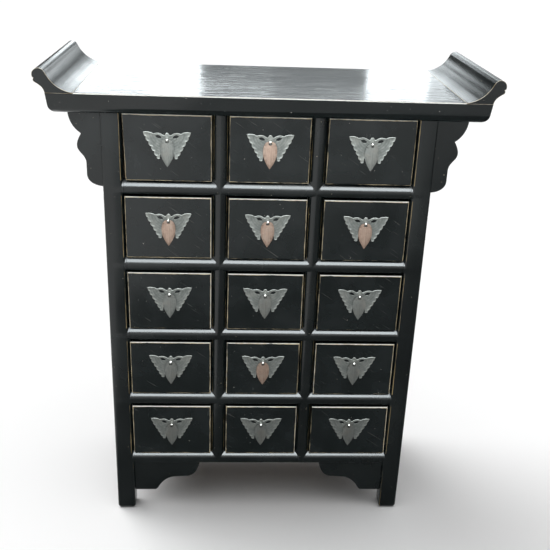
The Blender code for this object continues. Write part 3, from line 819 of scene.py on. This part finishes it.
drawer = {
    "frontThick": 0.015,
    "footLift": 0.0007,
    "boxInset": 0.0005,
    "boxLap": 0.0005,
    "boxEdge": 0.0007,
    "hair": 0.0002,
    "wall": 0.009,
    "floor": 0.006,
    "drop": 0.012,
    "backDrop": 0.002,
    "round": 0.0018,
    "roundLines": (0.0, 0.08, 0.25, 0.5, 0.75, 1.0, 1.5, 2.2),
    "wave": 0.00012,
    "ripples": ((5, 0), (3, 4), (-2, 7)),
    "cells": (14, 11),
    "trim": 0.0009,
    # The stronger and wider rub on the top edge paints a highlight there as well as wear.
    "wear": {"top": 1.08, "foot": 0.80, "left": 0.84, "right": 0.94},
    "wearReach": {"top": 1.8, "foot": 1.3, "left": 1.3, "right": 1.5},
    "wearEase": 0.5,
    "age": 0.16,
    "loose": {"row1_left": (0.0, 0.0, 0.0030, 0.0)},
    "seed": 7,
}
trimDraw = np.random.default_rng(drawer["seed"])


# Lines over a span, close together in its two rounded edges.
def edgedLines(span, count):
    near = np.array(drawer["roundLines"]) * drawer["round"]
    return np.r_[near, np.linspace(near[-1], span - near[-1], count)[1:-1], span - near[::-1]]


# Wear from the gaps to the four edges, with a brighter and wider painted highlight along the top edge. It is
# strongest near an edge, and the edge line itself stays dark.
def edgeWearAndHighlight(gaps, age):
    size = drawer
    sides = ("top", "foot", "left", "right")
    wear = np.array([size["wear"][side] for side in sides]) + age
    reach = np.array([size["wearReach"][side] for side in sides]) * size["round"]
    close = np.clip(1 - gaps / reach[:, None, None], 0, 1)
    rub = (wear[:, None, None] * close ** size["wearEase"]).max(0)
    rub[gaps.min(0) < tiny] = 0.0
    return rub


# The front's face is a grid between four hand trimmed corners. Its edges are quarter rounds and its corners
# parts of a ball, rubbed unevenly on each side with a painted highlight along the top, and shallow waves in
# it fade towards them.
def buildDrawerFront(tag):
    low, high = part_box("drawer_" + tag)
    size = drawer
    trim = trimDraw.uniform(0, size["trim"], 4)
    topLeft, topRight, footLeft, footRight = trim + np.array(size["loose"].get(tag, (0, 0, 0, 0)))
    phase = trimDraw.uniform(0, 2 * math.pi, 3)
    age = trimDraw.uniform(-size["age"], size["age"], 4)
    foot = low.z + size["footLift"]
    wide, tall = high.x - low.x, high.z - foot
    across, up = edgedLines(wide, size["cells"][0]), edgedLines(tall, size["cells"][1])
    acrossGrid, upGrid = np.meshgrid(across, up, indexing="ij")
    u, v = acrossGrid / wide, upGrid / tall
    left = low.x + footLeft * (1 - v) + topLeft * v
    right = high.x - footRight * (1 - v) - topRight * v
    x = left + (right - left) * u
    z = foot + upGrid
    gaps = np.stack([tall - upGrid, upGrid, acrossGrid, wide - acrossGrid])
    near = 1 - fade(gaps, 0.0, size["round"])
    inset = np.minimum(np.hypot(near[:2].max(0), near[2:].max(0)), 1)
    fall = roundFall(size["round"], 1 - inset)
    ripple = sum(np.sin(a * u + b * v + start) for (a, b), start in zip(size["ripples"], phase))
    face = low.y + fall + size["wave"] * ripple * np.sin(math.pi * u) * np.sin(math.pi * v)
    rub = edgeWearAndHighlight(gaps, age)
    back = low.y + size["frontThick"]
    filled = np.ones((len(across) - 1, len(up) - 1), bool)
    faces = shapedFront(across, up, filled, face, back)[1]
    points = np.vstack([listed(x, face, z), listed(x, back, z)])
    marks = {"rub": np.r_[rub.ravel(), np.zeros(rub.size)]}
    body, node = tag + "_drawer", "drawer_" + tag
    makePiece("front_" + tag, points, faces, [frontLacquer], body, [node], marks, sharp=60)


# Corners of a box, and its six faces.
def boxShell(low, high):
    corner = np.array([[i, j, k] for i in (0, 1) for j in (0, 1) for k in (0, 1)], float)
    points = low + corner * np.subtract(high, low)
    faces = [[0, 1, 3, 2], [4, 6, 7, 5], [0, 4, 5, 1], [2, 3, 7, 6], [0, 2, 6, 4], [1, 5, 7, 3]]
    return points, np.array(faces)


def joinShells(shells):
    points, faces, offset = [], [], 0
    for shellPoints, shellFaces in shells:
        points.append(shellPoints)
        faces += [[int(i) + offset for i in face] for face in shellFaces]
        offset += len(shellPoints)
    return np.vstack(points), faces


# Two sides, a back and a bottom as boards of their own, a hair apart.
def buildDrawerBox(tag):
    low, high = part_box("drawer_" + tag)
    size = drawer
    left, right = low.x + size["boxInset"], high.x - size["boxInset"]
    near, far = low.y + size["frontThick"] - size["boxLap"], high.y
    rim = high.z - size["drop"]
    wall, hair = size["wall"], size["hair"]
    inLeft, inRight = left + wall + hair, right - wall - hair
    shells = [
        boxShell((left, near, low.z), (left + wall, far, rim)),
        boxShell((right - wall, near, low.z), (right, far, rim)),
        boxShell((inLeft, far - wall, low.z), (inRight, far, rim - size["backDrop"])),
        boxShell((inLeft, near, low.z), (inRight, far - wall - hair, low.z + size["floor"])),
    ]
    points, faces = joinShells(shells)
    body, node = tag + "_drawer", "drawer_" + tag
    soften(makePiece("box_" + tag, points, faces, [bareWood], body, [node]), size["boxEdge"], 2)


# Even points along a closed loop, with its corners kept.
def divided(loop, step):
    nextOnes = np.roll(loop, -1, axis=0)
    counts = np.maximum(np.ceil(np.linalg.norm(nextOnes - loop, axis=1) / step).astype(int), 1)
    start = np.repeat(np.arange(len(loop)), counts)
    share = (np.arange(counts.sum()) - np.repeat(np.cumsum(counts) - counts, counts)) / counts[start]
    return loop[start] + share[:, None] * (nextOnes - loop)[start]


# Distance from each point to the nearest segment of a closed loop.
def loopDistance(points, loop):
    a = loop[None]
    run = np.roll(loop, -1, axis=0)[None] - a
    t = np.clip(((points[:, None] - a) * run).sum(-1) / np.maximum((run**2).sum(-1), tiny**2), 0, 1)
    return np.linalg.norm(points[:, None] - a - t[..., None] * run, axis=-1).min(1)


# A point is inside where a level ray from it crosses the loop an odd number of times.
def insideLoop(points, loop):
    x, z = points[:, :1], points[:, 1:]
    ax, az = loop.T
    bx, bz = np.roll(loop, -1, axis=0).T
    crosses = (az > z) != (bz > z)
    where = ax + (z - az) * (bx - ax) / np.where(bz == az, tiny, bz - az)
    return ((crosses & (x < where)).sum(1) % 2).astype(bool)


# Points stay clear of the loops by a share of their ring's distance or of the grid's spacing.
casting = {
    "step": 0.0010,
    "probe": 1e-5,
    "ringShare": 0.96,
    "gridShare": 0.45,
    "rowShare": 0.866,
    "grime": 0.0002,
    "sharp": 55,
}


def withinLoops(points, loops):
    within = insideLoop(points, loops[0])
    for loop in loops[1:]:
        within &= ~insideLoop(points, loop)
    return within


# Points at set distances from a loop, on its solid side, and how far from every loop they have to be.
def ringPoints(loop, rings, solidInside):
    run = np.roll(loop, -1, axis=0) - np.roll(loop, 1, axis=0)
    normal = np.column_stack([-run[:, 1], run[:, 0]]) / np.linalg.norm(run, axis=1)[:, None]
    inside = insideLoop(loop + normal * casting["probe"], loop)
    normal = np.where((inside == solidInside)[:, None], normal, -normal)
    return [(loop + normal * distance, distance * casting["ringShare"]) for distance in rings]


# Staggered rows of points over the whole outline.
def gridPoints(outline, spacing):
    low, high = outline.min(0), outline.max(0)
    levels = np.arange(low[1], high[1], spacing * casting["rowShare"])
    x, z = np.meshgrid(np.arange(low[0], high[0], spacing), levels)
    x = x + spacing / 2 * (np.arange(len(x)) % 2)[:, None]
    return np.column_stack([x.ravel(), z.ravel()])


# Rings of points inside the loops, and a loose grid further in, joined by a constrained triangulation.
def sheetTriangles(loops, size):
    found = [ring for loop in loops for ring in ringPoints(loop, size["rings"], loop is loops[0])]
    clear = size["rings"][-1] + size["spacing"] * casting["gridShare"]
    found.append((gridPoints(loops[0], size["spacing"]), clear))
    kept = []
    for points, least in found:
        points = points[withinLoops(points, loops)]
        far = np.min([loopDistance(points, loop) for loop in loops], axis=0)
        kept.append(points[far >= least])
    edges, offset = [], 0
    for loop in loops:
        i = np.arange(len(loop))
        edges.append(np.column_stack([i, np.roll(i, -1)]) + offset)
        offset += len(loop)
    flat = np.vstack([*loops, *kept])
    mapped = delaunay_2d_cdt(flat.tolist(), np.vstack(edges).tolist(), [], 0, tiny)
    spots = np.array([tuple(spot) for spot in mapped[0]])
    tris = np.array(mapped[2])
    return spots, tris[withinLoops(spots[tris].mean(1), loops)]


# Thin casting: the height function lifts its front, the back stays flat, and walls join them at the edges.
def castSheet(outline, holes, size, height, backDepth):
    loops = [divided(loop, casting["step"]) for loop in (outline, *holes)]
    spots, tris = sheetTriangles(loops, size)
    rim = loopDistance(spots, loops[0])
    slit = np.min([loopDistance(spots, loop) for loop in loops[1:]], axis=0)
    lift = height(spots, rim, slit)
    x, z = spots.T
    points = np.vstack([listed(x, -lift, z), listed(x, backDepth, z)])
    sides = np.vstack([tris[:, [0, 1]], tris[:, [1, 2]], tris[:, [2, 0]]])
    shared = np.unique(np.sort(sides, axis=1), axis=0, return_inverse=True)[1].ravel()
    border = sides[np.bincount(shared)[shared] == 1]
    count = len(spots)
    wall = np.column_stack([border, border[:, ::-1] + count])
    faces = tris.tolist() + (tris[:, ::-1] + count).tolist() + wall.tolist()
    # The hollow mark paints black shade into the slits, fading out from their edges, and over all the back
    # faces.
    hollow = np.r_[np.exp(-slit / casting["grime"]), np.ones(count)]
    return points, faces, np.r_[lift, np.zeros(count)], hollow


butterfly = {
    "finial": ((0.0, 0.0118), (0.0019, 0.0113), (0.0034, 0.0096), (0.0044, 0.0074)),
    "brow": (
        (0.0044, 0.0074), (0.0068, 0.0079), (0.0115, 0.0106),
        (0.0165, 0.0116), (0.0208, 0.0110), (0.0236, 0.0101),
    ),
    "tip": ((0.0236, 0.0101), (0.0282, 0.0124), (0.0350, 0.0134), (0.0414, 0.0128)),
    "hip": (0.0181, -0.0303),
    "foot": ((0.0181, -0.0303), (0.0187, -0.0334), (0.0162, -0.0352), (0.0124, -0.0348)),
    "notch": ((0.0124, -0.0348), (0.0112, -0.0260), (0.0070, -0.0190), (0.0, -0.0160)),
    "scallops": 5,
    "scallopSteps": 8,
    "scallopRise": 0.0023,
    "scallopEase": 0.7,
    "slotCentre": (0.0147, 0.0046),
    "slotSize": (0.0110, 0.0050),
    "slotTilt": 18,
    "slotEase": 0.7,
    "slotSteps": 13,
    "thick": 0.0015,
    "face": 0.0030,
    "rings": (0.0003, 0.0007, 0.0011, 0.0015, 0.0021),
    "spacing": 0.0020,
}
# How high each form on the plate stands, and over what distance from the edge or the slits it comes in.
plateRelief = {
    "rim": 0.00032, "rimWidth": 0.0019, "rimEase": 0.8,
    "edgeDrop": 0.0003, "edgeReach": 0.0004,
    "lip": 0.0001, "lipWidth": 0.0016,
    "slitDrop": 0.0002, "slitReach": 0.0003,
    "ridge": 0.0004, "ridgeWidth": 0.0042, "ridgeFade": (0.0006, 0.002),
    "vein": 0.00014, "veinTurn": 1500.0, "veinCentre": 0.012, "veinSquash": 0.9, "veinFade": (0.0022, 0.003),
    "dish": 0.0002, "dishFade": (0.002, 0.004),
    "bright": (-0.0033, 0.0008),
}


def butterflyOutline():
    size = butterfly
    start, end = np.array(size["tip"][-1]), np.array(size["hip"])
    run = end - start
    t = np.linspace(0, 1, size["scallops"] * size["scallopSteps"] + 1)[:, None]
    out = np.array([-run[1], run[0]]) / np.linalg.norm(run)
    swell = size["scallopRise"] * np.minimum(t * size["scallops"], 1)
    lobes = np.abs(np.sin(math.pi * size["scallops"] * t)) ** size["scallopEase"]
    scalloped = start + run * t + out * swell * lobes
    upper = [through(size[name]) for name in ("finial", "brow", "tip")]
    lower = [through(size[name]) for name in ("foot", "notch")]
    return mirrored(joinRuns(*upper, scalloped, *lower))


# Pointed lens: its half height is a power of a cosine along its length, turned and set in place.
def eyeSlot(side):
    size = butterfly
    t = np.linspace(-1, 1, size["slotSteps"])
    high = size["slotSize"][1] / 2 * np.cos(math.pi / 2 * t) ** size["slotEase"]
    lens = np.vstack([np.column_stack([t, high]), np.column_stack([t, -high])[-2:0:-1]])
    lens = lens * [size["slotSize"][0] / 2, 1.0]
    turn = math.radians(size["slotTilt"]) * side
    spin = np.array([[math.cos(turn), math.sin(turn)], [-math.sin(turn), math.cos(turn)]])
    return lens @ spin + np.array([side * size["slotCentre"][0], size["slotCentre"][1]])


# Rim: a round bead along the edge. Wings dish a little, a body ridge runs down the middle, slits have a lip.
def butterflyLift(spots, rim, slit):
    form = plateRelief
    x, z = spots.T
    bead = form["rim"] * np.sin(math.pi * fade(rim, 0.0, form["rimWidth"])) ** form["rimEase"]
    bead = bead - form["edgeDrop"] * (1 - fade(rim, 0.0, form["edgeReach"]))
    lip = form["lip"] * np.sin(math.pi * fade(slit, 0.0, form["lipWidth"]))
    lip = lip - form["slitDrop"] * (1 - fade(slit, 0.0, form["slitReach"]))
    bodyRidge = form["ridge"] * np.exp(-((x / form["ridgeWidth"]) ** 2)) * fade(rim, *form["ridgeFade"])
    reach = np.hypot(x * form["veinSquash"], z - form["veinCentre"])
    vein = form["vein"] * np.cos(reach * form["veinTurn"]) * fade(rim, *form["veinFade"])
    dish = -form["dish"] * fade(rim, *form["dishFade"])
    return -butterfly["face"] + bead + lip + bodyRidge + vein + dish


eyeRing = {"reach": 0.00255, "radial": 0.00100, "across": 0.0021, "around": 32, "section": 16}


# Ring turned about the hinge axis, with an oval section.
def eyeShell():
    size = eyeRing
    turn = np.linspace(0, 2 * math.pi, size["around"], endpoint=False)[:, None]
    section = np.linspace(0, 2 * math.pi, size["section"], endpoint=False)[None]
    radius = size["reach"] + size["radial"] * np.cos(section)
    points = listed(size["across"] * np.sin(section), radius * np.cos(turn), radius * np.sin(turn))
    i = np.arange(len(points)).reshape(size["around"], size["section"])
    j = np.roll(i, -1, axis=0)
    faces = np.stack([i, np.roll(i, -1, 1), np.roll(j, -1, 1), j], -1).reshape(-1, 4)
    return points, faces


leaf = {
    "neck": (0.0042, 0.0009),
    "shoulder": ((0.0098, -0.0004), (0.0125, -0.0080), (0.0125, -0.0180)),
    "side": ((0.0125, -0.0265), (0.0090, -0.0356), (0.0, -0.0485)),
    "window": (0.0026, -0.0050, -0.0009),
    "back": 0.0007,
    "rings": (0.0004, 0.0009, 0.0016),
    "spacing": 0.0017,
}
# Heights on the leaf, and the distances over which they come in from its edge or below its neck.
leafRelief = {
    "edge": 0.0003, "crown": 0.0009, "swell": 0.0085,
    "rib": 0.0003, "ribWidth": 0.0011, "ribFade": (0.0, 0.004), "ribTop": (0.008, 0.006),
    "vein": 0.00018, "veinTurn": 2100.0, "veinSlant": 0.85,
    "veinFade": (0.0008, 0.003), "veinTop": (0.009, 0.006),
    "neck": -0.0052, "neckLift": 0.0008,
    "bright": (0.0003, 0.0009),
}


def leafOutline():
    size = leaf
    shoulder = curve((size["neck"], *size["shoulder"]))
    side = curve((size["shoulder"][-1], *size["side"]))
    return mirrored(joinRuns((0.0, size["neck"][1]), shoulder, side))


# The face swells from a thin edge to a crown, with a mid rib and slanted side veins pressed into it.
def leafLift(spots, rim, slit):
    form = leafRelief
    x, z = spots.T
    swell = np.sin(fade(rim, 0.0, form["swell"]) * math.pi / 2)
    rib = form["rib"] * np.exp(-((x / form["ribWidth"]) ** 2)) * fade(rim, *form["ribFade"])
    slant = z + np.abs(x) * form["veinSlant"]
    veins = form["vein"] * np.cos(slant * form["veinTurn"]) * fade(rim, *form["veinFade"])
    pressed = rib * fade(-z, *form["ribTop"]) + veins * fade(-z, *form["veinTop"])
    lift = form["edge"] + (form["crown"] - form["edge"]) * swell + pressed
    return np.where(z > form["neck"], np.maximum(lift, form["neckLift"]), lift)


copperLeaves = ("row1_middle", "row2_left", "row2_middle", "row2_right", "row4_middle")


def buildPulls():
    slots = [eyeSlot(-1), eyeSlot(1)]
    back = butterfly["face"] + butterfly["thick"]
    plate, plateFaces, lift, hollow = castSheet(butterflyOutline(), slots, butterfly, butterflyLift, back)
    plateMarks = {"relief": fade(lift, *plateRelief["bright"]), "hollow": hollow}
    half, foot, top = leaf["window"]
    window = np.array([(-half, foot), (half, foot), (half, top), (-half, top)])
    blade, bladeFaces, lift, hollow = castSheet(leafOutline(), [window], leaf, leafLift, leaf["back"])
    bladeMarks = {"relief": fade(lift, *leafRelief["bright"]), "hollow": hollow}
    eye, eyeFaces = eyeShell()
    eyeMarks = {"relief": np.ones(len(eye))}
    for tag in tags:
        eyeAt = next(joint["pos_m"] for joint in frame["joints"] if joint["name"] == tag + "_pull_hinge")
        leafMetal = leafCopper if tag in copperLeaves else leafGrey
        castings = (
            ("butterfly_", plate, plateFaces, plateMetal, "_drawer", "plate_", "plate_metal", plateMarks),
            ("eye_", eye, eyeFaces, studMetal, "_drawer", "plate_", "plate_metal", eyeMarks),
            ("leaf_", blade, bladeFaces, leafMetal, "_pull", "pull_", "leaf_metal", bladeMarks),
        )
        for name, points, faces, metal, body, node, slot, marks in castings:
            points = points + eyeAt
            node = [node + tag]
            makePiece(name + tag, points, faces, [metal], tag + body, node, marks, casting["sharp"])
    print("pulls:", len(plateFaces), "faces a plate,", len(bladeFaces), "faces a leaf")


buildTopBoard()
buildScrollEnds()
print("top: board and scroll ends")
buildFrontFrame()
buildApron()
buildPosts()
buildSpandrels()
print("front: frame, apron, posts and spandrels")
for tag in tags:
    buildDrawerFront(tag)
    buildDrawerBox(tag)
print("drawers:", len(tags))
buildPulls()

# The boards behind keep their solids and only take a finish.
for node, finish in (
    ("left_side_panel", carcassLacquer),
    ("right_side_panel", carcassLacquer),
    ("back_panel", backBoard),
    ("runner_frame", runnerWood),
):
    slots = frame["nodes"][node].data.materials
    slots.clear()
    slots.append(finish)

studio = {
    "floorSpan": 60.0,
    "floorDrop": 0.0006,
    "floor": colour(0.95, 0.95, 0.95),
    "rim": 0.02,
    "zenith": 1.99,
    "domePower": 4.0,
    "daylight": (0.90, 0.97, 1.0),
    "sun": {"place": (0, 0, 4), "back": (-0.52, 0.38, 0.78), "spread": 44.0, "strength": 1.75},
    # The dark card paints the shaded floor near the cabinet into reflections only.
    "card": (
        (-0.41, -0.14), (0.33, -0.14), (0.33, 3.0), (7.0, 3.0),
        (7.0, -2.9), (0.75, -2.5), (0.25, -1.7), (-0.41, -1.3),
    ),
    "cardLift": 0.001,
    "cardTone": colour(0.12, 0.12, 0.12),
    "farCard": ((-0.3, -1.6), (2.5, -1.6), (2.5, -5.4), (-0.3, -5.4)),
    "farLift": 0.0005,
    "farTone": colour(0.55, 0.57, 0.57),
    "flag": ((-14.0, 1.6), (14.0, 1.6), (14.0, 20.0), (-14.0, 20.0)),
    "flagDepth": 16.2,
    "flagTone": colour(0.1, 0.1, 0.1),
}
# Windows behind the cabinet, which only show as reflections: y, x from and to, z from and to, and how bright
# each looks. Only the top shows the near one, since the left scroll end reflects past it.
windows = {
    "leftWindow": (16.0, -3.3, -0.69, 3.1, 4.55, 4.9),
    "middleWindow": (16.0, -0.69, 2.79, 3.1, 4.55, 0.44),
    "nearWindow": (4.0, 0.835, 1.25, 1.38, 1.84, 3.1),
    "sideWindow": (16.0, 2.79, 4.1, 1.8, 4.55, 1.5),
    "edgeWindow": (16.0, 4.1, 5.6, 2.4, 4.55, 2.2),
    "upperWindow": (16.0, -1.7, 0.8, 4.65, 5.6, 5.2),
    "bridgeWindow": (16.0, 0.8, 2.79, 4.65, 5.0, 2.6),
    "rightUpperWindow": (16.0, 0.5, 3.3, 5.0, 6.7, 2.9),
}
overhead = {"place": (0.0, -2.05, 2.05), "size": (2.6, 1.7), "facing": (0.0, -0.15, 0.55), "shine": 15.0}


# Matrix of an object with these three axes, at a place.
def standing(right, up, back, place):
    turned = np.eye(4)
    turned[:3] = np.column_stack([right, up, back, place])
    return Matrix(turned.tolist())


# A lamp that shines away from its back, with its X level.
def addLamp(name, kind, place, back):
    back = np.array(back) / np.linalg.norm(back)
    right = np.cross((0, 0, 1), back)
    right = right / np.linalg.norm(right)
    lamp = bpy.data.lights.new(name, kind)
    holder = placed(name, lamp)
    holder.matrix_world = standing(right, np.cross(back, right), back, place)
    holder.visible_camera = False
    return lamp, holder


# A box that looks as bright as its shine to reflections, and lights nothing else.
def addSoftBox(name, place, back, size, shine):
    lamp, holder = addLamp(name, "AREA", place, back)
    lamp.shape = "RECTANGLE"
    lamp.size, lamp.size_y = size
    lamp.energy = shine * math.pi * lamp.size * lamp.size_y
    lamp.color = studio["daylight"]
    holder.visible_diffuse = False


def paperRecipe(wire, tone):
    return {"Base Color": tone, "Roughness": 0.9, "Specular IOR Level": 0.1}


def addSheet(name, corners, tone):
    mesh = bpy.data.meshes.new(name)
    mesh.from_pydata(corners, [], [tuple(range(len(corners)))])
    mesh.materials.append(makeFinish(name, paperRecipe, tone))
    sheet = placed(name, mesh)
    return sheet


def buildSheets():
    size = studio
    span = size["floorSpan"] / 2
    corners = ((-span, -span), (span, -span), (span, span), (-span, span))
    addSheet("floor", [(x, y, -size["floorDrop"]) for x, y in corners], size["floor"])
    # Only reflections see these: a dark card on the floor in front and to the right, which paints the
    # cabinet's shade on the floor into the reflections, a grey card further out, and a flag behind the far
    # windows.
    card = addSheet("card", [(x, y, size["cardLift"]) for x, y in size["card"]], size["cardTone"])
    farCard = addSheet("farCard", [(x, y, size["farLift"]) for x, y in size["farCard"]], size["farTone"])
    flag = addSheet("flag", [(x, size["flagDepth"], z) for x, z in size["flag"]], size["flagTone"])
    for sheet in (card, farCard, flag):
        sheet.visible_camera = False
        sheet.visible_diffuse = False
        sheet.visible_shadow = False


# The dome brightens with a power of height. The camera and reflections see plain white.
def buildDome():
    world = bpy.data.worlds.new("studio")
    bpy.context.scene.world = world
    world.use_nodes = True
    tree = world.node_tree
    wire = Wire(tree)
    heading = wire.node("TexCoord", out="Generated")
    height = wire.node("SeparateXYZ", None, {0: heading}, out=2)
    height = height.maths("MAXIMUM", height, 0.0)
    dome = height.maths("POWER", height, studio["domePower"]) * studio["zenith"] + studio["rim"]
    rays = [wire.node("LightPath", out=f"Is {kind} Ray") for kind in ("Camera", "Glossy", "Transmission")]
    total = rays[0] + rays[1] + rays[2]
    seen = total.maths("MINIMUM", total, 1.0)
    back = tree.nodes["Background"]
    back.inputs["Color"].default_value = colour(1.0, 1.0, 1.0)
    tree.links.new((seen * (1 - dome) + dome).socket, back.inputs["Strength"])


def buildLamps():
    look = studio["sun"]
    sun = addLamp("sun", "SUN", look["place"], look["back"])[0]
    sun.angle = math.radians(look["spread"])
    sun.energy = look["strength"]
    for name, (depth, left, right, foot, top, shine) in windows.items():
        place = ((left + right) / 2, depth, (foot + top) / 2)
        addSoftBox(name, place, (0, 1, 0), (right - left, top - foot), shine)
    back = np.subtract(overhead["place"], overhead["facing"])
    addSoftBox("overhead", overhead["place"], back, overhead["size"], overhead["shine"])


photoView = {
    "place": (-0.0701, -1.5563, 1.1524),
    "pitch": 23.46,
    "yaw": -3.52,
    "roll": 2.21,
    "focal": 832.5,
    "image": 550,
    "sensor": 36.0,
    "reach": 200.0,
}


# A level view along +Y, turned about its upright, then its level axis, then its line of sight.
def buildCamera():
    view = photoView
    right, down, ahead = np.array([[1, 0, 0], [0, 0, -1], [0, 1, 0]])
    for name, axis in (("yaw", "Y"), ("pitch", "X"), ("roll", "Z")):
        turn = np.array(Matrix.Rotation(math.radians(view[name]), 3, axis))
        right, down, ahead = turn @ np.array([right, down, ahead])
    lens = bpy.data.cameras.new("photoView")
    lens.sensor_width = view["sensor"]
    lens.lens = view["sensor"] * view["focal"] / view["image"]
    lens.clip_end = view["reach"]
    holder = placed("photoView", lens)
    holder.matrix_world = standing(right, -down, -ahead, view["place"])
    bpy.context.scene.camera = holder


buildSheets()
buildDome()
buildLamps()
buildCamera()
bpy.context.scene.view_settings.view_transform = "Standard"
print("studio: floor, lamps, camera")
